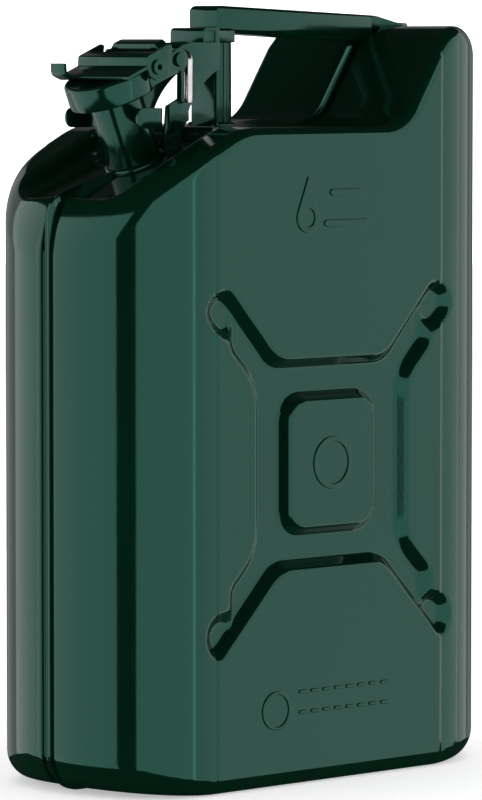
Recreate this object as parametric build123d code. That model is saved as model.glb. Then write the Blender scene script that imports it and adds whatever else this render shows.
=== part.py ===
from build123d import *
import os
from math import asin, atan2, cos, hypot, pi, radians, sin, sqrt, tan

# A 10 litre pressed-steel jerry can, in millimetres. X runs along the wide side with the spout at -X,
# Y through the thickness with the front face at -Y, Z up. The origin is the middle of the base.

# ---- Tank ----
SHEET = 1.2
HALF_WIDTH = 130.0
DEPTH = 63.0                 # from the mid-plane to the flat of a big face
END_RUN = 54.0               # length of the curved end, measured along X
END_POWER = 2.25             # superellipse power of the curved end
EDGE_ROUND = 12.0            # rounding between a big face and the base or top
CORNER_ROUND = 38.0          # lower corners in the side view, at the mid-plane
FLOOR_Z = 321.0              # level of the hand space under the bar
HUMP_Z = 370.0
HUMP_CORNER = 28.0
SLOPE_TOP_X = -58.0
SLOPE_ANGLE = radians(26)
RAMP_FOOT_X = 50.2
RAMP_ANGLE = radians(57)
RAMP_ROUND = 28.0
CHANNEL_DEPTH = 3.0          # seam channel round the mid-plane
CHANNEL_HALF = 4.35
FLANGE_HALF = 1.5
FLANGE_CORNER = 28.0         # the flange turns the lower corners tighter than the tank does
FLANGE_RAMP_SHIFT = -5.0     # and it stands proud on the ramp
PANEL_HALF = 76.5
PANEL_RISE = 0.8
GROOVE_DEPTH = 2.4             # from the panel's face
GROOVE_DRAFT = 70.0            # walls this far from upright
EMBOSS_X = 1.3                 # the X sits this far off the middle
BASE_TRIM = 0.3                # the base is cut flat by this much
SQUARE_Z = 157.0
MARK_RISE = 0.7

# ---- Closure, drawn square to the neck ----
TILT = radians(22.5)
CUP_FOOT = (-86.0, 336.0)    # side view: centre of the cap's open rim, on the neck's axis
NECK_LENGTH = 35.0           # pocket floor to that point
NECK_R = 13.5
LIP_R = 15.6
LIP_TOP = 7.2
CUP_R = 22.0
CUP_TOP = 12.0
HINGE_U = 29.0               # hinge axis, along and above the closure plane
HINGE_N = 7.0
HINGE_PIN_R = 2.5
RIVET_U = 10.9
RIVET_N = 10.6
RIVET_R = 2.6
RUNNING_GAP = 0.06           # radial play of a pin in a hole
ARM_INNER = 19.5
ARM_SHEET = 1.5
EAR_INNER = 23.7
EAR_SHEET = 1.5
LEVER_SHEET = 1.4
LEVER_RISE = 4.2

# ---- Bracket, handle and pin ----
CHEEK_INNER = 12.0
CHEEK_SHEET = 1.3
LUG_R = 6.0
FOOT_U = (11.0, 22.8)          # foot of a cheek, along and above the closure plane
FOOT_N = (-34.2, -27.5)
FOOT_SPREAD = 4.2              # how far it leans out
YOKE_HALF = 26.4
YOKE_SHEET = 1.4
YOKE_Z = (320.5, 330.3)
POST_X = (-27.0, -16.0)
POST_HALF = 9.8
BAR_TOP_Z = 380.0
BAR_HEIGHT = 13.8
BAR_SLOPE = radians(2.4)
BAR_END_X = 80.0
PIN_X = -53.0
PIN_Z = 356.5
PIN_R = 2.25

CLOSURE = Plane(
    origin=(CUP_FOOT[0], 0, CUP_FOOT[1]), x_dir=(cos(TILT), 0, sin(TILT)), z_dir=(-sin(TILT), 0, cos(TILT))
)
CLOSURE_SIDE = Plane(origin=CLOSURE.origin, x_dir=CLOSURE.x_dir, z_dir=(0, -1, 0))


def side_to_world(u, n):
    """Turn a closure side-view point into X and Z."""
    return (
        CUP_FOOT[0] + u * cos(TILT) - n * sin(TILT),
        CUP_FOOT[1] + u * sin(TILT) + n * cos(TILT),
    )


HINGE = side_to_world(HINGE_U, HINGE_N)


def outline(points, radii):
    """Closed flat face with a rounding at each corner."""
    return make_face(FilletPolyline(*points, radius=radii, close=True))


def across(face, y_low, y_high, plane=Plane.XZ):
    """Solid of a side-view face between two Y stations."""
    return extrude(plane.offset(-y_high) * face, y_high - y_low)


def both_sides(solid):
    """A solid and its mirror image across the mid-plane."""
    return Compound(solid.solids() + mirror(solid, Plane.XZ).solids())


def disc(n_low, n_high, radius, u=0.0):
    """Round solid square to the closure plane."""
    return extrude(CLOSURE.offset(n_low) * Pos(u, 0) * Circle(radius), n_high - n_low)


def rod(point, radius, y_low, y_high):
    """Round solid along Y through a side-view point."""
    return across(Pos(*point) * Circle(radius), y_low, y_high)


def tank_outline(side_inset, flat_inset, corner, ramp_shift=0.0):
    """Side view of the tank, drawn smaller by one inset at its ends and another elsewhere."""
    end_x = HALF_WIDTH - side_inset
    floor_z = FLOOR_Z - flat_inset
    top_z = HUMP_Z - flat_inset
    slope_x = SLOPE_TOP_X + flat_inset * tan(SLOPE_ANGLE / 2)
    bend_z = floor_z - (slope_x + end_x) * tan(SLOPE_ANGLE)
    foot_x = RAMP_FOOT_X + ramp_shift + flat_inset * tan(RAMP_ANGLE / 2)
    crest_x = foot_x + (top_z - floor_z) / tan(RAMP_ANGLE)
    points = [
        (-end_x, flat_inset), (end_x, flat_inset), (end_x, top_z), (crest_x, top_z),
        (foot_x, floor_z), (slope_x, floor_z), (-end_x, bend_z),
    ]
    top_corner = max(HUMP_CORNER - 0.5 * side_inset, 3)
    crest_round = max(22 - flat_inset, 6)
    radii = [corner, corner, top_corner, crest_round, RAMP_ROUND + flat_inset, 24, 12]
    return outline(points, radii)


def notch_outline(flat_inset):
    """Side view of everything below the shoulder, hand space and ramp, far wider than the tank."""
    far = 2 * HALF_WIDTH
    floor_z = FLOOR_Z - flat_inset
    crest_z = HUMP_Z - flat_inset + 0.4
    slope_x = SLOPE_TOP_X + flat_inset * tan(SLOPE_ANGLE / 2)
    foot_x = RAMP_FOOT_X + flat_inset * tan(RAMP_ANGLE / 2)
    crest_x = foot_x + (crest_z - floor_z) / tan(RAMP_ANGLE)
    points = [
        (-far, -far), (far, -far), (far, crest_z), (crest_x, crest_z), (foot_x, floor_z),
        (slope_x, floor_z), (-far, floor_z - (slope_x + far) * tan(SLOPE_ANGLE)),
    ]
    return outline(points, [0, 0, 0, 22 - flat_inset / 2, RAMP_ROUND + flat_inset, 24, 0])


def half_body(wall):
    """Half of the tank's bulk, on the -Y side, inset by a wall."""
    depth = DEPTH - wall
    edge = EDGE_ROUND - wall
    step = CHANNEL_HALF + wall
    start = asin(step / depth)
    stations = 9
    blanks = []
    notches = []
    for i in range(stations + 1):
        angle = start + (pi / 2 - start) * i / stations
        y = depth * sin(angle)
        end_inset = END_RUN * (1 - max(1 - sin(angle) ** END_POWER, 0) ** (1 / END_POWER))
        rise = max(y - (depth - edge), 0) / edge
        flat_inset = wall + edge * (1 - sqrt(max(1 - rise ** 2, 0)))
        end_x = HALF_WIDTH - wall - end_inset
        top_z = HUMP_Z - flat_inset
        corner = max(CORNER_ROUND - wall - 0.62 * end_inset, 3)
        top_corner = max(HUMP_CORNER - wall - 0.45 * end_inset, 3)
        low_z = flat_inset - BASE_TRIM
        points = [(-end_x, low_z), (end_x, low_z), (end_x, top_z), (-end_x, top_z)]
        blanks.append(Plane.XZ.offset(y) * outline(points, [corner, corner, top_corner, top_corner]))
        notches.append(Plane.XZ.offset(y) * notch_outline(flat_inset))
    channel = CHANNEL_DEPTH + wall
    root = tank_outline(channel, channel, CORNER_ROUND - channel)
    above_base = Pos(0, wall + HUMP_Z) * Rectangle(3 * HALF_WIDTH, 2 * HUMP_Z)
    bulk = loft(blanks) & loft(notches) & across(above_base, -DEPTH - 1, 0)
    return bulk + across(root, -step, 0)


def raised_panel(wall):
    """Shallow rise over the flat of a big face."""
    border = EDGE_ROUND - 3 + wall
    window = Pos(0, FLOOR_Z / 2) * Rectangle(2 * (PANEL_HALF - wall), 2 * FLOOR_Z)
    field = tank_outline(border, border, 3) & window
    return across(field, -(DEPTH + PANEL_RISE - wall), -(DEPTH - 8))


def emboss_fields(grow):
    """Outlines left standing by the X groove: centre square, top, base and two sides, at groove level."""
    square = Pos(0, SQUARE_Z) * RectangleRounded(70 + 2 * grow, 74 + 2 * grow, 16)
    top = outline([(-112, 281.5 - grow), (-41.6, 204 - grow), (41.6, 204 - grow), (112, 281.5 - grow),
                   (112, 420), (-112, 420)], [0, 14, 14, 0, 0, 0])
    base = outline([(-112, 37 + grow), (-40, 110.5 + grow), (40, 110.5 + grow), (112, 37 + grow),
                    (112, -80), (-112, -80)], [0, 14, 14, 0, 0, 0])
    side = outline([(46 - grow, 114 - grow), (46 - grow, 199.5 + grow), (112, 267.5 + grow),
                    (112, 46.5 - grow)], [14, 14, 0, 0])
    return [square, top, base, side, mirror(side, Plane.YZ)]


def x_groove(depth, grow):
    """Solid pressed into a big face: a window with rounded ends less the raised fields."""
    plane = Plane.XZ.offset(DEPTH + PANEL_RISE - depth) * Pos(EMBOSS_X, 0)
    window = Pos(0, SQUARE_Z - 2.5) * RectangleRounded(138, 184, 6)
    for side in (-1, 1):
        for z in (76.5, 231.5):
            window += Pos(side * 71, z) * Circle(12.5 + grow)
    height = depth + 0.5
    cutter = extrude(plane * window, height)
    for field in emboss_fields(-grow):
        cutter -= extrude(plane * field, height + 0.2, taper=GROOVE_DRAFT)
    return cutter


def face_marks():
    """Generic raised marks: a drop with two level bars, a ring on the square and a row of ticks."""
    ring = Pos(0, SQUARE_Z) * (Circle(13) - Circle(10.5))
    marks = ring
    for i, width in enumerate((30, 22)):
        marks += Pos(9, 274 + 15 * i) * SlotOverall(width, 3.4)
    drop = Pos(-17, 277) * Circle(7.5) + outline([(-24, 280), (-17, 297), (-10, 280)], 0)
    drop -= Pos(-17, 277) * Circle(4.5)
    marks += drop
    marks += Pos(-38, 38) * (Circle(9.5) - Circle(8))
    for i in range(8):
        marks += Pos(-20 + 8 * i, 36) * SlotOverall(5.5, 1.8)
        marks += Pos(-20 + 8 * i, 46) * SlotOverall(5.5, 1.8)
    return marks


def neck_pocket(grow, low):
    """Recess stamped in the sloped shoulder, with its floor square to the neck."""
    floor = CLOSURE.offset(-NECK_LENGTH - low)
    shape = Pos(-10, 0) * RectangleRounded(76 + 2 * grow, 72 + 2 * grow, 14 + grow)
    return extrude(floor * shape, 34, taper=-18)


def make_shell():
    """Front half of the tank as a hollow pressing."""
    raised = raised_panel(0)
    solid = half_body(0) + raised
    solid -= x_groove(GROOVE_DEPTH, 0)
    solid -= neck_pocket(0, 0)
    hollow = half_body(SHEET)
    hollow -= x_groove(GROOVE_DEPTH + SHEET, SHEET * 0.6)
    hollow -= neck_pocket(SHEET, SHEET)
    shell = solid - hollow - disc(-NECK_LENGTH - 6, -NECK_LENGTH + 1, NECK_R)
    marks = Plane.XZ.offset(DEPTH + PANEL_RISE - 0.3) * face_marks()
    return shell + extrude(marks, MARK_RISE + 0.3)


def make_weld_seam():
    """Flange of the two halves, standing in the channel all the way round."""
    outer = tank_outline(0.3, 0.3, FLANGE_CORNER, FLANGE_RAMP_SHIFT)
    inner = tank_outline(CHANNEL_DEPTH, CHANNEL_DEPTH, CORNER_ROUND - CHANNEL_DEPTH)
    ring = across(outer - inner, -FLANGE_HALF, FLANGE_HALF)
    ring -= neck_pocket(SHEET, SHEET)
    post_foot = across(outline([(-34, 300), (-10, 300), (-10, 340), (-34, 340)], 0), -3, 3)
    return max((ring - post_foot).solids(), key=lambda s: s.volume)


def make_neck():
    """Filler neck, a plain tube that passes through the pocket floor."""
    low = -NECK_LENGTH - SHEET
    return disc(low, LIP_TOP - 3.4, NECK_R) - disc(low - 1, LIP_TOP, NECK_R - SHEET)


def make_neck_lip():
    """Rolled sealing edge on the end of the neck."""
    ring = disc(LIP_TOP - 3.4, LIP_TOP, LIP_R) - disc(LIP_TOP - 4, LIP_TOP + 1, NECK_R - SHEET)
    outer_edges = ring.edges().filter_by(GeomType.CIRCLE).sort_by(lambda e: e.radius)[-2:]
    return fillet(outer_edges, 1.5)


def make_neck_weld():
    """Bead round the foot of the neck."""
    bead = disc(-NECK_LENGTH, -NECK_LENGTH + 2.2, NECK_R + 2.2) - disc(-NECK_LENGTH - 1, 0, NECK_R)
    rim = bead.edges().filter_by(GeomType.CIRCLE).group_by(lambda e: round(e.radius, 1))[-1]
    top_rim = sorted(rim, key=lambda e: e.center().Z)[-1]
    return fillet([top_rim], 2.0)


def make_breather():
    """Air pipe welded to the inner end of the neck, down into the tank."""
    top = -NECK_LENGTH - SHEET
    reach = NECK_R - 3
    return disc(-66, top, 3, reach) - disc(-67, top + 1, 2.2, reach)


def make_post():
    """Folded upright with two flutes down each face."""
    centre = (POST_X[0] + POST_X[1]) / 2
    width = POST_X[1] - POST_X[0]
    section = RectangleRounded(width, 2 * POST_HALF, 2)
    for side in (-1, 1):
        for x in (-1.8, 2.2):
            section -= Pos(x, side * (POST_HALF + 0.3)) * Circle(1.1)
    section -= RectangleRounded(width - 2.8, 2 * POST_HALF - 4.4, 1)
    return extrude(Plane.XY.offset(FLOOR_Z) * Pos(centre, 0) * section, BAR_TOP_Z - BAR_HEIGHT - FLOOR_Z)


def bar_side(inset):
    """Side view of the hand bar."""
    low = BAR_TOP_Z - BAR_HEIGHT + inset
    high = BAR_TOP_Z - inset
    left = POST_X[0] + inset
    drop = (BAR_END_X - POST_X[0]) * tan(BAR_SLOPE)
    return outline(
        [(left, low), (POST_X[1], low), (BAR_END_X, low - drop), (BAR_END_X, high - drop), (left, high)],
        [0, 0, 0, 0, 3.5 - inset],
    )


def bar_section(inset):
    """Cross-section of the hand bar: nearly square above and well rounded where the fingers go."""
    half = POST_HALF - inset
    high = BAR_HEIGHT / 2 + 0.6 - inset
    corners = [(-half, -high), (half, -high), (half, high), (-half, high)]
    return outline(corners, [5.5 - inset, 5.5 - inset, 2.4 - inset, 2.4 - inset])


def make_bar():
    """Hollow hand bar, ending where it meets the ramp."""
    plane = Plane(
        origin=(POST_X[0] - 5, 0, BAR_TOP_Z - BAR_HEIGHT / 2), x_dir=(0, 1, 0),
        z_dir=(cos(BAR_SLOPE), 0, -sin(BAR_SLOPE)),
    )
    skin = extrude(plane * bar_section(0), 140)
    core = extrude(plane * bar_section(1.4), 140)
    bar = across(bar_side(0), -20, 20) & skin
    bar -= across(bar_side(1.4), -20, 20) & core
    bar -= across(tank_outline(0, 0, CORNER_ROUND), -20, 20)
    bar -= across(tank_outline(0, 0, CORNER_ROUND, FLANGE_RAMP_SHIFT), -1.8, 1.8)
    return max(bar.solids(), key=lambda s: s.volume)


def make_end_tab():
    """Flared tab that ties the end of the bar to the hump."""
    end_top = BAR_TOP_Z - (BAR_END_X - POST_X[0]) * tan(BAR_SLOPE)
    path = outline(
        [(BAR_END_X, end_top - 6), (BAR_END_X, end_top), (85, end_top - 0.6), (94, HUMP_Z + 1.8),
         (104, HUMP_Z + 1.5), (104, HUMP_Z), (86, HUMP_Z - 2)],
        [0, 0, 4, 8, 0, 0, 0],
    )
    plan = outline(
        [(BAR_END_X, -POST_HALF), (86, -POST_HALF), (96, -15), (104, -12), (104, 12), (96, 15),
         (86, POST_HALF), (BAR_END_X, POST_HALF)],
        [0, 4, 4, 4, 4, 4, 4, 0],
    )
    tab = across(path, -16, 16) & extrude(Plane.XY.offset(350) * plan, 40)
    tab -= across(tank_outline(0, 0, CORNER_ROUND, FLANGE_RAMP_SHIFT), -1.8, 1.8)
    return tab - across(tank_outline(-0.1, -0.1, CORNER_ROUND), -20, 20)


def make_handle_welds():
    """Beads beside the foot of the post and along the tab's edges."""
    beads = []
    for side in (-1, 1):
        foot = Plane.YZ.offset(POST_X[0]) * Pos(side * POST_HALF, FLOOR_Z) * Circle(1.8)
        bead = extrude(foot, POST_X[1] - POST_X[0])
        bead -= across(tank_outline(0, 0, CORNER_ROUND), -20, 20)
        post_core = Pos((POST_X[0] + POST_X[1]) / 2, 0, FLOOR_Z) * Box(20, 2 * POST_HALF, 20)
        beads.append(bead - post_core)
    tab_bead = extrude(Plane.YZ.offset(104) * Pos(0, HUMP_Z) * SlotOverall(20, 3), 1.5)
    beads.append(tab_bead - across(tank_outline(0, 0, CORNER_ROUND), -20, 20))
    return Compound([s for b in beads for s in b.solids()])


def cheek_outline():
    """Side view of a bracket cheek: hinge lug, pin hole, concave rear edge and short foot."""
    foot_front = side_to_world(FOOT_U[0], FOOT_N[1] - 0.8)
    foot_rear = side_to_world(FOOT_U[1], FOOT_N[1] - 0.8)
    hinge_x, hinge_z = HINGE
    edges = Polyline(
        (-49.6, 327), (-50.4, 322.5), foot_rear, foot_front, (-63.4, 331), (-55.8, 334.5), (-55.6, 347),
        (hinge_x, hinge_z), (hinge_x + 4.6, hinge_z + 3.8), (PIN_X, 360.5), (-46, 361.8),
        (-28, 361.8), (-28, 349),
    )
    rear_edge = ThreePointArc((-28, 349), (-41, 340), (-49.6, 327))
    plate = make_face([edges, rear_edge])
    plate += Pos(*HINGE) * Circle(LUG_R)
    plate -= Pos(*HINGE) * Circle(HINGE_PIN_R)
    return plate - Pos(PIN_X, PIN_Z) * Circle(PIN_R + RUNNING_GAP)


def foot_plane():
    """Outer face of a cheek's foot, which leans out to the pocket floor. Origin at its upper front corner."""
    x, z = side_to_world(FOOT_U[0], FOOT_N[1])
    lean = atan2(FOOT_SPREAD, FOOT_N[1] - FOOT_N[0])
    outward = (-sin(TILT) * sin(lean), -cos(lean), cos(TILT) * sin(lean))
    return Plane(origin=(x, -CHEEK_INNER - CHEEK_SHEET, z), x_dir=CLOSURE.x_dir, z_dir=outward)


def make_front_cheek():
    """Bracket plate on the -Y side, with a doubler low down and a foot that leans out."""
    plate = across(cheek_outline(), -CHEEK_INNER - CHEEK_SHEET, -CHEEK_INNER)
    doubler = outline([(-62.2, 318.6), (-63.2, 332), (-56, 334), (-50.2, 331), (-49.9, 323.8)], [0.6, 2, 1, 1, 1])
    doubler = across(doubler, -CHEEK_INNER - 2 * CHEEK_SHEET, -CHEEK_INNER - CHEEK_SHEET)
    drop = hypot(FOOT_SPREAD, FOOT_N[1] - FOOT_N[0])
    width = FOOT_U[1] - FOOT_U[0]
    foot = outline([(0.1, 0.5), (width - 0.1, 0.5), (width - 5.5, -drop), (-5.5, -drop)], [0, 0, 1.5, 1.5])
    return plate + doubler + extrude(foot_plane() * foot, -CHEEK_SHEET)


def make_clamp():
    """Block between the cheeks and the strap that runs back along the post."""
    front = outline([(-38, 357), (-36.6, 357), (-36.6, 367.6), (POST_X[0], 367.6), (POST_X[0], 369),
                     (-38, 369)], [0, 0, 0, 0, 0, 2.5])
    block = across(front, -CHEEK_INNER, CHEEK_INNER)
    arm = outline([(-36.6, 361.8), (POST_X[1], 361.8), (POST_X[1], 367.6), (-36.6, 367.6)], 0)
    for side in (-1, 1):
        low = POST_HALF if side > 0 else -POST_HALF - 1.4
        block += across(arm, low, low + 1.4)
    tie = outline([(-30, 355), (POST_X[0], 355), (POST_X[0], 367.6), (-30, 367.6)], 0)
    block += across(tie, -CHEEK_INNER, CHEEK_INNER)
    return block


def make_yoke():
    """Two bent straps welded to the sides of the neck, with a rounded lug each."""
    web_x = -75.6
    bend = 5
    outer = outline(
        [(-110, -YOKE_HALF), (web_x, -YOKE_HALF), (web_x, YOKE_HALF), (-110, YOKE_HALF)], [0, bend, bend, 0]
    )
    inner = outline(
        [(-120, -YOKE_HALF + YOKE_SHEET), (web_x - YOKE_SHEET, -YOKE_HALF + YOKE_SHEET),
         (web_x - YOKE_SHEET, YOKE_HALF - YOKE_SHEET), (-120, YOKE_HALF - YOKE_SHEET)],
        [0, bend - YOKE_SHEET, bend - YOKE_SHEET, 0],
    )
    low, high = YOKE_Z
    strap = extrude(Plane.XY.offset(low) * (outer - inner), high - low)
    side = outline([(-94.5, low), (-60, low), (-60, high), (-94.5, high)], [4.5, 0, 0, 4.5])
    lugs = (strap & across(side, -30, 30)) - disc(-NECK_LENGTH, 0, NECK_R)
    return Compound(lugs.solids())


def make_spot_welds():
    """Raised spot welds where the cheeks' feet are joined."""
    dot = extrude(foot_plane() * Pos(3, -5) * Circle(2.1), 0.7)
    return both_sides(dot)


def make_hinge_pin():
    """Axle of the lid, held by the cheeks."""
    reach = ARM_INNER + ARM_SHEET + 0.6
    return rod(HINGE, HINGE_PIN_R, -reach, reach)


def make_pin_heads():
    """Riveted ends of the hinge pin, clear of the lid's arm."""
    reach = ARM_INNER + ARM_SHEET + 0.6
    head = rod(HINGE, 3.4, -reach - 0.8, -reach)
    return both_sides(head)


def make_cup():
    """Round cap with a rounded top edge, open below."""
    skin = disc(0, CUP_TOP, CUP_R)
    top_rim = skin.edges().filter_by(GeomType.CIRCLE).sort_by(Axis.Z)[-1]
    skin = fillet([top_rim], 2.2)
    return skin - disc(-1, CUP_TOP - SHEET, CUP_R - SHEET)


def make_lid_arm():
    """Side plates from the cap to the hinge, and the hollow bridge that joins them."""
    foot = outline([(7, 2), (HINGE_U - 3, 1.6), (HINGE_U - 3, 13.2), (21.5, 14.6), (17, 12), (7, 11.5)], 0)
    plate = foot + Pos(HINGE_U, HINGE_N) * Circle(5.4)
    plate -= Pos(HINGE_U, HINGE_N) * Circle(HINGE_PIN_R + RUNNING_GAP)
    plate = across(plate, -ARM_INNER - ARM_SHEET, -ARM_INNER, CLOSURE_SIDE)
    plate -= disc(-2, CUP_TOP + 3, CUP_R)
    post = outline([(20.5, 12.5), (26, 12.5), (26, 14.8), (20.5, 14.8)], 0)
    plate += across(post, -ARM_INNER - ARM_SHEET, -ARM_INNER, CLOSURE_SIDE)
    base = CLOSURE.offset(13.6)
    top = CLOSURE.offset(18.2)
    outside = loft([base * Pos(24.2, 0) * RectangleRounded(7.4, 2 * ARM_INNER + 0.4, 1.2),
                    top * Pos(24.6, 0) * RectangleRounded(6.2, 31, 1.2)])
    inside = loft([CLOSURE.offset(13.0) * Pos(24.2, 0) * RectangleRounded(5, 2 * ARM_INNER - 2.4, 0.5),
                   CLOSURE.offset(17.0) * Pos(24.6, 0) * RectangleRounded(3.8, 28.4, 0.5)])
    heel = across(outline([(18.6, CUP_TOP), (22, CUP_TOP), (22, 15), (20.8, 15), (20.0, 13.2),
                           (18.6, 13.2)], 0), -9, 9, CLOSURE_SIDE)
    bridge = outside - inside + heel
    return plate + mirror(plate, Plane.XZ) + bridge + rivet_bosses()


def rivet_bosses():
    """Bosses on the side plates that carry the lever's rivets."""
    boss = across(
        Pos(RIVET_U, RIVET_N) * Circle(4.2), -ARM_INNER - 2.6, -ARM_INNER + 1.5, CLOSURE_SIDE
    )
    boss -= disc(-2, CUP_TOP + 6, CUP_R)
    return boss + mirror(boss, Plane.XZ)


def make_gasket():
    """Rubber sealing ring in the cap."""
    ring = disc(LIP_TOP + 0.2, CUP_TOP - SHEET, CUP_R - SHEET - 0.1) - disc(0, CUP_TOP, 9.9)
    return ring - disc(0, LIP_TOP + 1.3, 11)


def make_retainer():
    """Pressed disc that holds the ring, joined to the middle of the cap."""
    stem = disc(LIP_TOP + 0.4, CUP_TOP - SHEET, 9.8)
    return stem + disc(LIP_TOP + 0.4, LIP_TOP + 1.2, 10.8)


def make_lever():
    """Cross plate over the cap with a rim, a raised box, two ears and a curled thumb tab."""
    t = LEVER_SHEET
    low = CUP_TOP + 0.35
    high = low + LEVER_RISE
    section = outline(
        [(-8.7, low), (5.9, low), (7.7, high), (12.4, high), (12.4, high + t),
         (6.6, high + t), (4.6, low + t), (-8.7, low + t)],
        [0, 1.6, 0.5, 0, 0, 1.6, 0.5, 0.6],
    )
    plate = across(section, -EAR_INNER, EAR_INNER, CLOSURE_SIDE)
    ear = outline(
        [(-8.7, low), (4.4, low), (4.4, 8.5), (8.2, 4.4), (15.4, 4.0), (24.2, high + t),
         (6.6, high + t), (4.6, low + t), (-8.7, low + t)],
        [0, 0.8, 2.5, 3.5, 2, 1.5, 1.6, 0.5, 0.6],
    )
    ear -= Pos(RIVET_U, RIVET_N) * Circle(RIVET_R + RUNNING_GAP)
    ear = across(ear, -EAR_INNER - EAR_SHEET, -EAR_INNER, CLOSURE_SIDE)
    curl = outline(
        [(-8.0, low), (-10.4, low), (-15.4, 17.2), (-13.4, 22.6), (-12.1, 21.9), (-13.5, 17.6),
         (-10.0, low + t), (-8.0, low + t)],
        [0, 2.2, 3.5, 0.3, 0.3, 2, 1.2, 0],
    )
    tab = across(curl, 12.5, 22.5, CLOSURE_SIDE)
    return plate + ear + mirror(ear, Plane.XZ) + tab


def make_rivets():
    """Hollow rivets on the lever's axis, held in the bosses of the lid's arm."""
    point = side_to_world(RIVET_U, RIVET_N)
    reach = EAR_INNER + EAR_SHEET + 0.3
    shank = rod(point, RIVET_R, -reach, -ARM_INNER - 2.6)
    head = rod(point, 3.6, -reach - 1.0, -reach)
    hole = rod(point, 1.4, -reach - 2, -ARM_INNER - 4.0)
    return both_sides(shank + head - hole)


def make_washers():
    """Spacers between the bosses and the ears."""
    point = side_to_world(RIVET_U, RIVET_N)
    ring = rod(point, 4.4, -EAR_INNER + 0.3, -ARM_INNER - 2.6) - rod(point, RIVET_R, -30, 0)
    return both_sides(ring)


def make_safety_pin():
    """Bent wire: a straight run through both cheeks and a leg that hangs in front."""
    bend = 4.6
    leg_y = -17.6
    path = FilletPolyline((PIN_X, 41, PIN_Z), (PIN_X, leg_y, PIN_Z), (PIN_X, leg_y, 332.6), radius=bend)
    start = Plane(origin=(PIN_X, 41, PIN_Z), z_dir=(0, -1, 0))
    wire = sweep(start * Circle(PIN_R), path=path)
    return wire


def main():
    """Write one STEP per piece."""
    shell = make_shell()
    cheek = make_front_cheek()
    pieces = {
        "front_shell": shell,
        "rear_shell": mirror(shell, Plane.XZ),
        "weld_seam": make_weld_seam(),
        "filler_neck": make_neck(),
        "neck_lip": make_neck_lip(),
        "neck_weld": make_neck_weld(),
        "breather_tube": make_breather(),
        "handle_post": make_post(),
        "handle_bar": make_bar(),
        "handle_end_tab": make_end_tab(),
        "handle_welds": make_handle_welds(),
        "front_cheek": cheek,
        "rear_cheek": mirror(cheek, Plane.XZ),
        "handle_clamp": make_clamp(),
        "neck_yoke": make_yoke(),
        "cheek_spot_welds": make_spot_welds(),
        "hinge_pin": make_hinge_pin(),
        "hinge_pin_heads": make_pin_heads(),
        "lid_cup": make_cup(),
        "lid_arm": make_lid_arm(),
        "lid_gasket": make_gasket(),
        "gasket_retainer": make_retainer(),
        "lever_rivets": make_rivets(),
        "lever_washers": make_washers(),
        "locking_lever": make_lever(),
        "safety_pin": make_safety_pin(),
    }
    os.makedirs("parts", exist_ok=True)
    for name, solid in pieces.items():
        export_step(solid, f"parts/{name}.step")


main()
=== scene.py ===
from math import atan2, cos, pi, radians, sin, tan
import bmesh
import bpy
import numpy as np
from mathutils import Matrix, Vector


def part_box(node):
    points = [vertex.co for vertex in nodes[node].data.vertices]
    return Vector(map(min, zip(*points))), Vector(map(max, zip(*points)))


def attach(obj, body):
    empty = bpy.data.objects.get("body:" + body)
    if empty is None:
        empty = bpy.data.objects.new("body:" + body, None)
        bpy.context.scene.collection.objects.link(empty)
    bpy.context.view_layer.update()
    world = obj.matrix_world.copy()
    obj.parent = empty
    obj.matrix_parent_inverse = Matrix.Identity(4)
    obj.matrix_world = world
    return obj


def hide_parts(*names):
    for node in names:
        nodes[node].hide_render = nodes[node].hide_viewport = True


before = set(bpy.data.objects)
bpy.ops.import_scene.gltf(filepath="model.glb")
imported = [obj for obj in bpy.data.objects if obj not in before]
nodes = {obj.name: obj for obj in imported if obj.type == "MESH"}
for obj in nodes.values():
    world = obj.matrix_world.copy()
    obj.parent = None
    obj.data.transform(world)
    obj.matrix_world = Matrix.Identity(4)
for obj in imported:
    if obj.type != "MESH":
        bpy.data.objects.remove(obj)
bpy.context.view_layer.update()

# ---- The tank, in metres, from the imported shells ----
shell_low, shell_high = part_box("front_shell")
HALF_WIDTH = shell_high[0]
HUMP_Z = shell_high[2]
MARK_RISE = 0.0007
MARK_EDGE = 0.00035
PANEL_RISE = 0.0008
DEPTH = -shell_low[1] - MARK_RISE - PANEL_RISE
END_RUN = 0.054
FLAT_HALF = HALF_WIDTH - END_RUN
END_POWER = 2.25
FLOOR_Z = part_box("handle_post")[0][2]
SLOPE_TOP_X = -0.058
SLOPE_ANGLE = radians(26)
RAMP_FOOT_X = 0.0502
RAMP_ANGLE = radians(57)
CHANNEL_HALF = 0.00435
CHANNEL_DEPTH = 0.003
PANEL_HALF = 0.0765
PANEL_FOOT = 0.0055
PANEL_EDGE = 0.0016
BASE_LIFT = 0.0045
VOXEL = 0.0015

# ---- The X emboss of a big face ----
GROOVE_DEPTH = 0.0048
GROOVE_WALL = 0.0062
WALL_FILLET = 0.27
SQUARE_STEEPER = 1.12
SIDE_GENTLER = 0.97
WINDOW_GENTLER = 0.85
FIELD_BLEND = 0.003
EMBOSS_X = 0.0005
SQUARE_Z = 0.157

# ---- The recess round the neck ----
POCKET_HALF = (0.038, 0.036)
POCKET_ROUND = 0.014

# ---- The closure's plane, square to the neck ----
TILT = radians(22.5)
CUP_FOOT = Vector((-0.086, 0, 0.336))
ALONG = Vector((cos(TILT), 0, sin(TILT)))
ABOVE = Vector((-sin(TILT), 0, cos(TILT)))
ACROSS = Vector((0, 1, 0))
NECK_LENGTH = 0.035
NECK_R = 0.0135
NECK_BORE_R = 0.0123
CUP_R = 0.022

# ---- Studio ----
VIEW_BACK = Vector((0.687, 0.727, 0))
VIEW_SIDE = Vector((0.727, -0.687, 0))
BOX_REACH = 3.0
BOX_HEIGHTS = (-2.6, 1.9)
SHEET_HALF = 9
# Margin of the dark sheet of painted contact shade under the can.
SHADE_PAD_BORDER = 0.03
OVERHEAD_SIZE = 7
OVERHEAD_RADIANCE = 0.9


# ======== Materials ========

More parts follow.
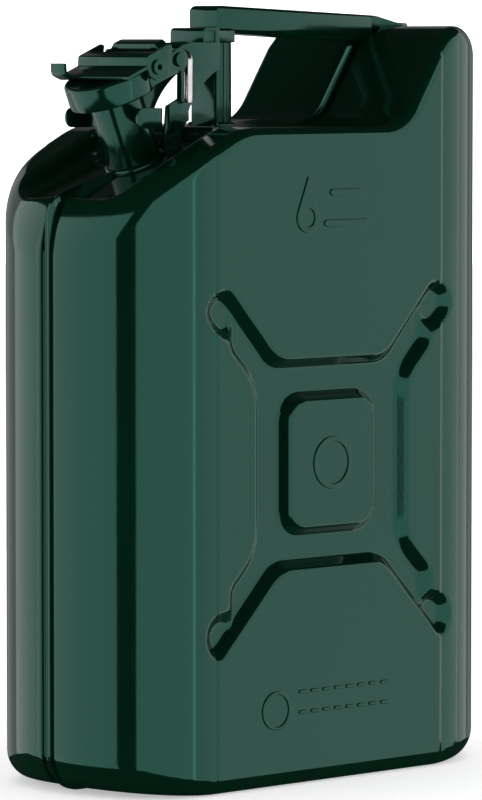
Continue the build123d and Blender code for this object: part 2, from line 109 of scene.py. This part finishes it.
def node_material(name):
    """Empty node material with its Principled shader."""
    material = bpy.data.materials.new(name)
    material.use_nodes = True
    shader = material.node_tree.nodes["Principled BSDF"]
    return material, material.node_tree, shader


def noise(tree, scale, detail, stretch=(1, 1, 1)):
    """Noise texture in object space."""
    coords = tree.nodes.new("ShaderNodeTexCoord")
    mapping = tree.nodes.new("ShaderNodeMapping")
    mapping.inputs["Scale"].default_value = stretch
    texture = tree.nodes.new("ShaderNodeTexNoise")
    texture.inputs["Scale"].default_value = scale
    texture.inputs["Detail"].default_value = detail
    tree.links.new(coords.outputs["Object"], mapping.inputs["Vector"])
    tree.links.new(mapping.outputs["Vector"], texture.inputs["Vector"])
    return texture


def ramp(tree, source, low, high):
    """Colour ramp over the middle of a texture's range."""
    node = tree.nodes.new("ShaderNodeValToRGB")
    for element, position, color in zip(node.color_ramp.elements, (0.3, 0.7), (low, high)):
        element.position = position
        element.color = (*color, 1)
    tree.links.new(source.outputs["Fac"], node.inputs["Fac"])
    return node


def grey(level):
    """Colour with three equal parts."""
    return (level, level, level)


def bump(tree, shader, source, distance, strength):
    """Fine relief from a texture."""
    node = tree.nodes.new("ShaderNodeBump")
    node.inputs["Strength"].default_value = strength
    node.inputs["Distance"].default_value = distance
    tree.links.new(source.outputs["Fac"], node.inputs["Height"])
    tree.links.new(node.outputs["Normal"], shader.inputs["Normal"])


def paint_material(name, dark, light, rough_low, rough_high, peel):
    """Sprayed green enamel: slight shade drift, uneven gloss and orange peel."""
    material, tree, shader = node_material(name)
    drift = ramp(tree, noise(tree, 9, 2), dark, light)
    tree.links.new(drift.outputs["Color"], shader.inputs["Base Color"])
    gloss = ramp(tree, noise(tree, 35, 4), grey(rough_low), grey(rough_high))
    tree.links.new(gloss.outputs["Color"], shader.inputs["Roughness"])
    bump(tree, shader, noise(tree, 700, 1), 0.00006, peel)
    shader.inputs["IOR"].default_value = 1.5
    shader.inputs["Specular Tint"].default_value = (0.33, 1, 0.8, 1)
    return material


def wire_material():
    """Bright zinc on drawn wire, with fine lines along it."""
    material, tree, shader = node_material("bright_zinc")
    tint = ramp(tree, noise(tree, 60, 3), (0.42, 0.4, 0.41), (0.6, 0.57, 0.58))
    tree.links.new(tint.outputs["Color"], shader.inputs["Base Color"])
    gloss = ramp(tree, noise(tree, 200, 3), grey(0.13), grey(0.26))
    tree.links.new(gloss.outputs["Color"], shader.inputs["Roughness"])
    shader.inputs["Metallic"].default_value = 1.0
    bump(tree, shader, noise(tree, 1500, 2, (1, 1, 0.05)), 0.00004, 0.3)
    return material


def rubber_material():
    """Dull black sealing rubber."""
    material, tree, shader = node_material("seal_rubber")
    tint = ramp(tree, noise(tree, 120, 3), (0.012, 0.012, 0.013), (0.03, 0.03, 0.032))
    tree.links.new(tint.outputs["Color"], shader.inputs["Base Color"])
    shader.inputs["Roughness"].default_value = 0.62
    bump(tree, shader, noise(tree, 2500, 2), 0.00008, 0.4)
    return material


TANK_GREENS = ((0.0003, 0.0065, 0.0031), (0.0004, 0.0082, 0.004))
FITTING_GREENS = ((0.0003, 0.006, 0.0028), (0.0004, 0.008, 0.0038))
PAINT = paint_material("green_enamel", *TANK_GREENS, 0.07, 0.10, 0.1)
SMALL_PAINT = paint_material("green_enamel_fittings", *FITTING_GREENS, 0.09, 0.16, 0.25)
BEAD_PAINT = paint_material("green_enamel_beads", *FITTING_GREENS, 0.12, 0.22, 0.6)
ZINC = wire_material()
RUBBER = rubber_material()


# ======== Mesh tools ========

def new_piece(name, mesh, body, material, slot, *replaced):
    """Object for a finished mesh, riding on a body and standing for its CAD nodes."""
    piece = bpy.data.objects.new(name, mesh)
    bpy.context.scene.collection.objects.link(piece)
    mesh.materials.clear()
    mesh.materials.append(material)
    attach(piece, body)
    if replaced:
        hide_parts(*replaced)


def smooth_by_angle(mesh, limit):
    """Smooth shading that keeps edges sharper than a limit crisp."""
    bm = bmesh.new()
    bm.from_mesh(mesh)
    for face in bm.faces:
        face.smooth = True
    for edge in bm.edges:
        edge.smooth = len(edge.link_faces) == 2 and edge.calc_face_angle(0) < limit
    bm.to_mesh(mesh)
    bm.free()


def softened(node, body, width, material, slot="green_paint"):
    """Copy of a CAD piece with its flat facets joined and its edges rounded."""
    mesh = nodes[node].data.copy()
    bm = bmesh.new()
    bm.from_mesh(mesh)
    bmesh.ops.remove_doubles(bm, verts=bm.verts, dist=0.00001)
    bmesh.ops.dissolve_limit(bm, angle_limit=radians(0.6), verts=bm.verts, edges=bm.edges)
    crisp = [e for e in bm.edges if len(e.link_faces) == 2 and e.calc_face_angle(0) > radians(32)]
    bmesh.ops.bevel(bm, geom=crisp, offset=width, segments=2, profile=0.6, affect="EDGES",
                    clamp_overlap=True)
    bmesh.ops.triangulate(bm, faces=[f for f in bm.faces if len(f.verts) > 4])
    bm.to_mesh(mesh)
    bm.free()
    smooth_by_angle(mesh, radians(38))
    new_piece(node + "_finished", mesh, body, material, slot, node)


def lathe(name, profile, steps=96):
    """Closed ring of revolution about the neck's axis from (radius, height) points."""
    bm = bmesh.new()
    rings = []
    for radius, height in profile:
        ring = []
        for i in range(steps):
            angle = 2 * pi * i / steps
            arm = ALONG * cos(angle) + ACROSS * sin(angle)
            ring.append(bm.verts.new(CUP_FOOT + arm * radius + ABOVE * height))
        rings.append(ring)
    for a, b in zip(rings, rings[1:] + rings[:1]):
        for i in range(steps):
            j = (i + 1) % steps
            bm.faces.new((a[i], a[j], b[j], b[i]))
    bmesh.ops.recalc_face_normals(bm, faces=bm.faces)
    mesh = bpy.data.meshes.new(name)
    bm.to_mesh(mesh)
    bm.free()
    smooth_by_angle(mesh, radians(50))
    return mesh


def arc(centre, radius, start, stop, steps=6):
    """Points of an arc, with angles in degrees."""
    points = []
    for i in range(steps + 1):
        angle = radians(start + (stop - start) * i / steps)
        points.append((centre[0] + radius * cos(angle), centre[1] + radius * sin(angle)))
    return points


def rounded_path(corners, radii, steps):
    """Closed polyline with its corners rounded."""
    path = []
    count = len(corners)
    for i in range(count):
        here = Vector(corners[i])
        back = (Vector(corners[i - 1]) - here).normalized()
        ahead = (Vector(corners[(i + 1) % count]) - here).normalized()
        half = back.angle(ahead) / 2
        reach = radii[i] / tan(half)
        middle = here + (back + ahead).normalized() * (radii[i] / sin(half))
        first = here + back * reach - middle
        turn = first.angle_signed(here + ahead * reach - middle)
        for k in range(steps + 1):
            angle = -turn * k / steps
            path.append(middle + Matrix.Rotation(angle, 2) @ first)
    return path


# ======== Tank ========

def smooth_max(a, b, k):
    """Larger of two fields with a rounded join."""
    h = np.maximum(k - np.abs(a - b), 0) / k
    return np.maximum(a, b) + h * h * k / 4


def smooth_min(a, b, k):
    """Smaller of two fields with a rounded join."""
    return -smooth_max(-a, -b, k)


def round_max(a, b, r):
    """Meeting of two half-spaces with a fillet of radius r."""
    inside = np.minimum(np.maximum(a, b), -r)
    return inside + np.hypot(np.maximum(a + r, 0), np.maximum(b + r, 0))


def box_distance(qx, qy):
    """Distance outside a rectangle from the distances past its two pairs of sides."""
    return np.hypot(np.maximum(qx, 0), np.maximum(qy, 0)) + np.minimum(np.maximum(qx, qy), 0)


def groove_distance(x, z):
    """How far a point of a big face lies outside the raised fields of the X emboss."""
    ax = np.abs(x - EMBOSS_X)
    qx = ax - 0.0183
    qz = np.abs(z - SQUARE_Z) - 0.0202
    square = box_distance(qx, qz) - 0.010
    top = smooth_max(0.2095 - z, (0.2115 - z + (ax - 0.0382) * 1.1) / 1.487, 0.006)
    base = smooth_max(z - 0.105, (z - 0.103 + (ax - 0.0367) * 1.03) / 1.436, 0.006)
    high = (z - 0.1965 - (ax - 0.053) * 1.03) / 1.436
    low = (0.117 - z - (ax - 0.053) * 1.02) / 1.428
    side = smooth_max(smooth_max(high, low, 0.004), 0.0525 - ax, 0.008)
    near = smooth_min(square * SQUARE_STEEPER, side * SIDE_GENTLER, FIELD_BLEND)
    for field in (top, base):
        near = smooth_min(near, field, FIELD_BLEND)
    window = np.maximum(ax - 0.070, np.abs(z - 0.1545) - 0.090)
    for end_z in (0.2315, 0.0765):
        window = smooth_min(window, np.hypot(ax - 0.071, z - end_z) - 0.0135, 0.004)
    return smooth_min(near, -window * WINDOW_GENTLER, FIELD_BLEND)


def eased(t):
    """Straight ramp from 0 to 1 with a fillet at each end."""
    a = WALL_FILLET
    low = t * t / (2 * a * (1 - a))
    middle = (t - a / 2) / (1 - a)
    high = 1 - (1 - t) ** 2 / (2 * a * (1 - a))
    return np.where(t < a, low, np.where(t > 1 - a, high, middle))


def face_relief(x, z):
    """Height of a big face over its plane: raised panel less the X groove."""
    depth = eased(np.clip(groove_distance(x, z) / GROOVE_WALL, 0, 1))
    edge = smooth_max(np.abs(x) - PANEL_HALF, PANEL_FOOT - z, 0.003)
    panel = np.clip(0.5 - edge / PANEL_EDGE, 0, 1)
    panel = panel * panel * (3 - 2 * panel)
    return PANEL_RISE * panel * (1 - depth) - GROOVE_DEPTH * depth


def top_distance(x, z):
    """Distance over the slope, hand space, ramp and hump, seen from the side."""
    slope = (z - FLOOR_Z) * cos(SLOPE_ANGLE) - (x - SLOPE_TOP_X) * sin(SLOPE_ANGLE)
    climb = (z - FLOOR_Z) * cos(RAMP_ANGLE) - (x - RAMP_FOOT_X) * sin(RAMP_ANGLE)
    low = smooth_min(z - FLOOR_Z, climb, 0.0128)
    return smooth_max(smooth_max(slope, low, 0.004), z - HUMP_Z, 0.010)


def closure_place(x, z):
    """Side-view coordinates along and above the closure's plane."""
    along = (x - CUP_FOOT.x) * ALONG.x + (z - CUP_FOOT.z) * ALONG.z
    above = (x - CUP_FOOT.x) * ABOVE.x + (z - CUP_FOOT.z) * ABOVE.z
    return along, above


def pocket_distance(x, y, z):
    """Distance into the recess stamped in the slope round the neck."""
    u, n = closure_place(x, z)
    draft = (n + NECK_LENGTH) * tan(radians(18)) - POCKET_ROUND
    qx = np.abs(u + 0.010) - (POCKET_HALF[0] + draft)
    qy = np.abs(y) - (POCKET_HALF[1] + draft)
    return round_max(box_distance(qx, qy) - POCKET_ROUND, -NECK_LENGTH - n, 0.005)


def tank_distance(x, y, z):
    """Signed distance of the tank, with y measured from the mid-plane."""
    past = np.maximum(np.abs(x) - FLAT_HALF, 0) / END_RUN
    plan = (past ** END_POWER + (np.abs(y) / DEPTH) ** END_POWER) ** (1 / END_POWER)
    plan = (plan - 1) * DEPTH - face_relief(x, z)
    end = np.clip(past, 0, 1)
    tank = round_max(plan, top_distance(x, z), 0.0055 + 0.0205 * end ** 2)
    tank = round_max(tank, BASE_LIFT * end ** 1.5 - z, 0.007 + 0.008 * end)
    tank = smooth_max(tank, -pocket_distance(x, y, z), 0.005)
    tank = smooth_max(tank, np.minimum(CHANNEL_HALF - np.abs(y), tank + CHANNEL_DEPTH), 0.0009)
    u, n = closure_place(x, z)
    hole = np.maximum(np.hypot(u, y) - NECK_BORE_R, -0.075 - n)
    tank = np.maximum(tank, -hole)
    return np.maximum(tank, -y)


def cell_corners():
    """The eight corner offsets of a grid cell."""
    return [(i, j, k) for i in (0, 1) for j in (0, 1) for k in (0, 1)]


def surface_net(field, axes):
    """Quads on a field's zero level: one vertex in each cell that it passes through."""
    inside = field < 0
    shape = tuple(n - 1 for n in field.shape)
    count = np.zeros(shape, dtype=np.int8)
    for i, j, k in cell_corners():
        count += inside[i:i + shape[0], j:j + shape[1], k:k + shape[2]]
    cells = np.argwhere((count > 0) & (count < 8))
    index = np.full(shape, -1, dtype=np.int64)
    index[tuple(cells.T)] = np.arange(len(cells))
    total = np.zeros((len(cells), 3))
    crossings = np.zeros(len(cells))
    steps = [axis[1] - axis[0] for axis in axes]
    for start in cell_corners():
        for axis in range(3):
            if start[axis]:
                continue
            stop = list(start)
            stop[axis] = 1
            a = field[tuple((cells + start).T)]
            b = field[tuple((cells + stop).T)]
            hit = (a < 0) != (b < 0)
            place = np.tile(np.array(start, dtype=float), (len(cells), 1))
            place[:, axis] = np.where(hit, a / np.where(hit, a - b, 1), 0)
            total[hit] += place[hit]
            crossings += hit
    origin = np.array([axis[0] for axis in axes])
    verts = origin + (cells + total / crossings[:, None]) * np.array(steps)
    quads = []
    for axis in range(3):
        p, q = [(1, 2), (2, 0), (0, 1)][axis]
        cut = [slice(1, -1)] * 3
        cut[axis] = slice(None, -1)
        far = [slice(1, -1)] * 3
        far[axis] = slice(1, None)
        a = inside[tuple(cut)]
        b = inside[tuple(far)]
        edges = np.argwhere(a != b)
        out = a[tuple(edges.T)]
        offset = np.array([1, 1, 1])
        offset[axis] = 0
        base = edges + offset
        ring = []
        for dp, dq in ((1, 1), (0, 1), (0, 0), (1, 0)):
            corner = base.copy()
            corner[:, p] -= dp
            corner[:, q] -= dq
            ring.append(index[tuple(corner.T)])
        ring = np.stack(ring, axis=1)
        ring[~out] = ring[~out][:, ::-1]
        quads.append(ring)
    return verts, np.concatenate(quads)


def slope_of(points):
    """Gradient of the tank's distance at each point."""
    step = 0.00015
    columns = []
    for axis in range(3):
        shift = np.zeros(3)
        shift[axis] = step
        ahead = tank_distance(*(points + shift).T)
        behind = tank_distance(*(points - shift).T)
        columns.append((ahead - behind) / (2 * step))
    return np.stack(columns, axis=1)


def shell_mesh():
    """Vertices, quads and normals of one half of the tank, with y positive."""
    axes = [
        np.arange(-HALF_WIDTH - VOXEL, HALF_WIDTH + 2 * VOXEL, VOXEL),
        np.arange(-VOXEL, DEPTH + 3 * VOXEL, VOXEL),
        np.arange(-VOXEL * 1.5, HUMP_Z + 2 * VOXEL, VOXEL),
    ]
    grid = np.meshgrid(*axes, indexing="ij")
    verts, quads = surface_net(tank_distance(*grid), axes)
    for _ in range(4):
        slope = slope_of(verts)
        size = np.maximum((slope ** 2).sum(axis=1), 0.25)
        move = (tank_distance(*verts.T) / size)[:, None] * slope
        verts = verts - np.clip(move, -VOXEL / 2, VOXEL / 2)
    slope = slope_of(verts)
    normals = slope / np.maximum(np.linalg.norm(slope, axis=1), 1e-9)[:, None]
    return verts, quads, normals


def make_shells():
    """Both pressed halves, mirror images across the seam."""
    verts, quads, normals = shell_mesh()
    for name, side in (("front_shell", -1), ("rear_shell", 1)):
        flip = np.array([1, side, 1])
        faces = quads if side > 0 else quads[:, ::-1]
        mesh = bpy.data.meshes.new(name + "_pressing")
        mesh.from_pydata((verts * flip).tolist(), [], faces.tolist())
        mesh.shade_smooth()
        mesh.normals_split_custom_set_from_vertices((normals * flip).tolist())
        new_piece(name + "_pressing", mesh, "root", PAINT, "green_paint", name)


def circle_loop(x, z, radius, steps=40):
    """Closed circle in a face's plane."""
    return arc((x, z), radius, 0, 360, steps)[:-1]


def bar_loop(x, z, length, height):
    """Closed outline of a bar with round ends."""
    reach = (length - height) / 2
    right = arc((x + reach, z), height / 2, -90, 90, 10)
    return right + arc((x - reach, z), height / 2, 90, 270, 10)


def mark_loops():
    """Outlines of the raised marks: drop and level bars, rings and ticks. Rings and the drop have holes."""
    drop = arc((-0.017, 0.277), 0.0075, -205, 25, 24) + [(-0.017, 0.297)]
    loops = [drop, circle_loop(-0.017, 0.277, 0.0045)]
    for i, width in enumerate((0.030, 0.022)):
        loops.append(bar_loop(0.009, 0.274 + 0.015 * i, width, 0.0034))
    for x, z, outer, inner in ((0, SQUARE_Z, 0.013, 0.0105), (-0.038, 0.038, 0.0095, 0.008)):
        loops += [circle_loop(x, z, outer), circle_loop(x, z, inner)]
    for i in range(8):
        for z in (0.036, 0.046):
            loops.append(bar_loop(-0.020 + 0.008 * i, z, 0.0055, 0.0018))
    return loops


def make_marks():
    """Raised marks on both big faces, with rounded edges."""
    curve = bpy.data.curves.new("marks", "CURVE")
    curve.dimensions = "2D"
    curve.fill_mode = "BOTH"
    curve.extrude = MARK_RISE - MARK_EDGE
    curve.bevel_depth = MARK_EDGE
    curve.bevel_resolution = 2
    curve.offset = -MARK_EDGE
    for loop in mark_loops():
        spline = curve.splines.new("POLY")
        spline.points.add(len(loop) - 1)
        spline.use_cyclic_u = True
        for point, (x, z) in zip(spline.points, loop):
            point.co = (x, z, 0, 1)
    source = bpy.data.objects.new("marks_source", curve)
    flat = bpy.data.meshes.new_from_object(source)
    bpy.data.objects.remove(source)
    for name, side in (("front_marks", -1), ("rear_marks", 1)):
        mesh = flat.copy()
        face = DEPTH + PANEL_RISE
        for vert in mesh.vertices:
            x, z, rise = vert.co
            vert.co = (x, side * (face + rise), z)
        if side > 0:
            mesh.flip_normals()
        smooth_by_angle(mesh, radians(50))
        new_piece(name, mesh, "root", PAINT, "green_paint")


def flange_outline():
    """Side view of the weld flange's outer edge."""
    shy = 0.0003
    end_x = HALF_WIDTH - shy
    foot_x = RAMP_FOOT_X - 0.005
    crest_x = foot_x + (HUMP_Z - FLOOR_Z) / tan(RAMP_ANGLE)
    bend_z = FLOOR_Z - (SLOPE_TOP_X + end_x) * tan(SLOPE_ANGLE)
    corners = [
        (-end_x, shy), (end_x, shy), (end_x, HUMP_Z - shy), (crest_x, HUMP_Z - shy),
        (foot_x, FLOOR_Z - shy), (SLOPE_TOP_X, FLOOR_Z - shy), (-end_x, bend_z - shy),
    ]
    return rounded_path(corners, [0.019, 0.019, 0.028, 0.022, 0.028, 0.024, 0.012], 14)


def make_flange():
    """Folded weld flange with its crimp line, round the whole seam."""
    path = flange_outline()
    section = [(-0.0015, -0.011), (-0.0015, -0.0006), (-0.0010, 0), (-0.0003, -0.0001), (0, -0.0006),
               (0.0003, -0.0001), (0.0010, 0), (0.0015, -0.0006), (0.0015, -0.011)]
    bm = bmesh.new()
    rings = []
    for i, point in enumerate(path):
        ahead = (path[(i + 1) % len(path)] - path[i - 1]).normalized()
        outward = Vector((ahead.y, -ahead.x))
        ring = []
        for across, rise in section:
            spot = point + outward * rise
            ring.append(bm.verts.new((spot.x, across, spot.y)))
        rings.append(ring)
    for a, b in zip(rings, rings[1:] + rings[:1]):
        for i in range(len(section)):
            j = (i + 1) % len(section)
            bm.faces.new((a[i], a[j], b[j], b[i]))
    bmesh.ops.recalc_face_normals(bm, faces=bm.faces)
    drop = []
    for vert in bm.verts:
        lift = (vert.co - CUP_FOOT).dot(ABOVE)
        over = (vert.co - CUP_FOOT).dot(ALONG)
        if lift > -NECK_LENGTH and -0.049 < over < 0.029 and vert.co.x < -0.04:
            drop.append(vert)
    bmesh.ops.delete(bm, geom=drop, context="VERTS")
    bmesh.ops.holes_fill(bm, edges=[e for e in bm.edges if len(e.link_faces) == 1], sides=0)
    mesh = bpy.data.meshes.new("weld_flange")
    bm.to_mesh(mesh)
    bm.free()
    smooth_by_angle(mesh, radians(40))
    new_piece("weld_flange", mesh, "root", PAINT, "green_paint", "weld_seam")


# ======== Neck and lid ========

def make_neck_parts():
    """Neck tube, rolled lip and weld bead."""
    inner = NECK_BORE_R
    tube = [(NECK_R, -0.0362), (NECK_R, 0.0038), (inner, 0.0038), (inner, -0.0362)]
    new_piece("neck_tube", lathe("neck_tube", tube), "root", SMALL_PAINT, "green_paint", "filler_neck")
    lip = arc((0.01395, 0.0055), 0.00165, -80, 200, 14) + [(inner, 0.0045)]
    new_piece("rolled_lip", lathe("rolled_lip", lip), "root", SMALL_PAINT, "green_paint", "neck_lip")
    bead = [(NECK_R - 0.0004, -0.0352)] + arc((NECK_R - 0.0001, -0.0352), 0.0023, 0, 90, 8)
    new_piece("neck_bead", lathe("neck_bead", bead), "root", BEAD_PAINT, "green_paint", "neck_weld")


def make_cup():
    """Cap with a rolled top edge and a dished crown."""
    profile = [(CUP_R - 0.0012, 0.0002), (CUP_R - 0.0003, 0.0)]
    profile += [(CUP_R, 0.0009), (CUP_R, 0.0088)]
    profile += arc((CUP_R - 0.0016, 0.0102), 0.0016, -10, 95, 8)
    profile += [(0.0190, 0.0114), (0.0180, 0.0108), (0.006, 0.0108), (0.0001, 0.0108)]
    profile += [(0.0001, 0.0098), (0.0176, 0.0098), (CUP_R - 0.0013, 0.0092)]
    new_piece("cap", lathe("cap", profile, 128), "lid", SMALL_PAINT, "green_paint", "lid_cup")


def make_gasket():
    """Sealing ring with rounded outer edges and a step that clears the retainer's flange."""
    low = 0.0074
    profile = arc((0.0203, low + 0.0005), 0.0005, -90, 0, 3)
    profile += arc((0.0203, low + 0.0019), 0.0005, 0, 90, 3)
    profile += [(0.0099, low + 0.0024), (0.0099, low + 0.0013), (0.0111, low + 0.0013), (0.0111, low)]
    new_piece("sealing_ring", lathe("sealing_ring", profile), "lid", RUBBER, "seal_rubber", "lid_gasket")


# ======== Scene ========

def make_camera():
    """Long lens from the front left, a little above the can's shoulder."""
    data = bpy.data.cameras.new("camera")
    data.lens = 230
    data.sensor_width = 36
    data.sensor_fit = "VERTICAL"
    data.sensor_height = 36
    data.clip_end = 50
    camera = bpy.data.objects.new("camera", data)
    camera.location = (-1.743, -1.844, 0.3626)
    heading = atan2(1.743, 1.844)
    camera.rotation_euler = (pi / 2 - radians(4.02), 0, -heading)
    data.shift_x = -0.0025
    bpy.context.scene.collection.objects.link(camera)
    bpy.context.scene.camera = camera


def softbox(name, azimuth, spread, radiance):
    """Tall upright light that faces the can and fills a sector. Azimuth 0 is in front, 90 to its left."""
    width = 2 * BOX_REACH * tan(radians(spread / 2))
    height = BOX_HEIGHTS[1] - BOX_HEIGHTS[0]
    data = bpy.data.lights.new(name, "AREA")
    data.shape = "RECTANGLE"
    data.size = width
    data.size_y = height
    data.energy = radiance * pi * width * height
    light = bpy.data.objects.new(name, data)
    angle = radians(azimuth)
    middle = (BOX_HEIGHTS[0] + BOX_HEIGHTS[1]) / 2
    light.location = (-BOX_REACH * sin(angle), -BOX_REACH * cos(angle), middle)
    light.rotation_euler = (-pi / 2, 0, pi - angle)
    light.visible_camera = False
    bpy.context.scene.collection.objects.link(light)


def stage_sheet(name, profile, material):
    """Sheet swept across the view between two (reach, height) points behind or under the can."""
    bm = bmesh.new()
    (near, low), (far, high) = profile
    corners = []
    for reach, height, side in ((near, low, -1), (near, low, 1), (far, high, 1), (far, high, -1)):
        place = VIEW_BACK * reach + VIEW_SIDE * SHEET_HALF * side + Vector((0, 0, height))
        corners.append(bm.verts.new(place))
    bm.faces.new(corners)
    mesh = bpy.data.meshes.new(name)
    bm.to_mesh(mesh)
    bm.free()
    mesh.materials.append(material)
    sheet = bpy.data.objects.new(name, mesh)
    bpy.context.scene.collection.objects.link(sheet)
    return sheet


def painted_shade_pad_mesh(material):
    """Flat rectangle a little wider than the can's base: a dark sheet of painted contact shade for the
    base's reflections.
    """
    bm = bmesh.new()
    reach_x = HALF_WIDTH + SHADE_PAD_BORDER
    reach_y = DEPTH + SHADE_PAD_BORDER
    corners = [(-reach_x, -reach_y), (reach_x, -reach_y), (reach_x, reach_y), (-reach_x, reach_y)]
    bm.faces.new([bm.verts.new((x, y, 0.0002)) for x, y in corners])
    mesh = bpy.data.meshes.new("shade_pad")
    bm.to_mesh(mesh)
    bm.free()
    mesh.materials.append(material)
    return mesh


def stage_material(name, low, high, glow):
    """Matt sheet with a faint mottle."""
    material, tree, shader = node_material(name)
    tint = ramp(tree, noise(tree, 2, 2), grey(low), grey(high))
    tree.links.new(tint.outputs["Color"], shader.inputs["Base Color"])
    shader.inputs["Roughness"].default_value = 0.9
    shader.inputs["Specular IOR Level"].default_value = 0.1
    shader.inputs["Emission Color"].default_value = (1, 1, 1, 1)
    shader.inputs["Emission Strength"].default_value = glow
    return material


def make_stage():
    """Pale floor, a pale wall far behind it and a dark sheet under the can that only reflections see:
    painted contact shade for the base's edge to mirror.
    """
    pale = stage_material("pale_stage", 0.86, 0.9, 0.42)
    floor = stage_sheet("floor", [(-6, 0), (6, 0)], pale)
    floor.visible_glossy = False
    floor.visible_shadow = False
    glowing = stage_material("pale_wall", 0.86, 0.9, 0.9)
    backdrop = stage_sheet("backdrop", [(5.8, -3.5), (5.8, 3)], glowing)
    backdrop.visible_glossy = False
    # Painted shade: a black sheet that only glossy rays see, so the base's rounded edge reflects dark as if
    # it were in contact shadow.
    dark = stage_material("painted_shade_pad", 0.02, 0.03, 0.0)
    shade_pad = bpy.data.objects.new("shade_pad", painted_shade_pad_mesh(dark))
    bpy.context.scene.collection.objects.link(shade_pad)
    shade_pad.visible_camera = False
    shade_pad.visible_diffuse = False
    shade_pad.visible_shadow = False


def make_lights():
    """Tall softboxes round the can with one dark gap, and an overhead that only the floor shows."""
    boxes = [
        ("right_box", -42, 56, 1.55), ("side_box", -81, 24, 1.25), ("rear_right_box", -103, 20, 0.4),
        ("back_right_box", -126, 26, 0.1), ("front_box", 18.5, 71, 1.75), ("left_box", 110, 70, 1.75),
        ("rear_left_box", 159, 28, 1.5), ("back_left_box", 188, 30, 0.45), ("back_box", 214, 22, 0.1),
    ]
    for name, azimuth, spread, radiance in boxes:
        softbox(name, azimuth, spread, radiance)
    data = bpy.data.lights.new("overhead", "AREA")
    data.size = OVERHEAD_SIZE
    data.energy = OVERHEAD_RADIANCE * pi * OVERHEAD_SIZE ** 2
    overhead = bpy.data.objects.new("overhead", data)
    overhead.location = (0, 0, 4)
    overhead.visible_glossy = False
    bpy.context.scene.collection.objects.link(overhead)
    world = bpy.data.worlds.new("studio")
    world.use_nodes = True
    background = world.node_tree.nodes["Background"]
    background.inputs["Color"].default_value = (1, 1, 1, 1)
    background.inputs["Strength"].default_value = 0.02
    bpy.context.scene.world = world
    bpy.context.scene.view_settings.view_transform = "Standard"


make_camera()
make_stage()
make_lights()
make_shells()
make_marks()
make_flange()
make_neck_parts()
make_cup()
make_gasket()
for node in ("handle_post", "handle_bar", "handle_end_tab", "front_cheek", "rear_cheek",
             "handle_clamp", "neck_yoke"):
    softened(node, "root", 0.0005, SMALL_PAINT)
softened("handle_welds", "root", 0.0004, BEAD_PAINT)
softened("cheek_spot_welds", "root", 0.0004, BEAD_PAINT)
softened("hinge_pin", "root", 0.0004, SMALL_PAINT)
softened("hinge_pin_heads", "root", 0.0005, SMALL_PAINT)
softened("breather_tube", "root", 0.0002, ZINC, "zinc_wire")
softened("lid_arm", "lid", 0.0003, SMALL_PAINT)
softened("gasket_retainer", "lid", 0.0003, ZINC, "zinc_wire")
softened("lever_rivets", "lid", 0.0003, SMALL_PAINT)
softened("lever_washers", "lid", 0.0002, SMALL_PAINT)
softened("locking_lever", "lever", 0.0004, SMALL_PAINT)
softened("safety_pin", "safety_pin", 0.0002, ZINC, "zinc_wire")
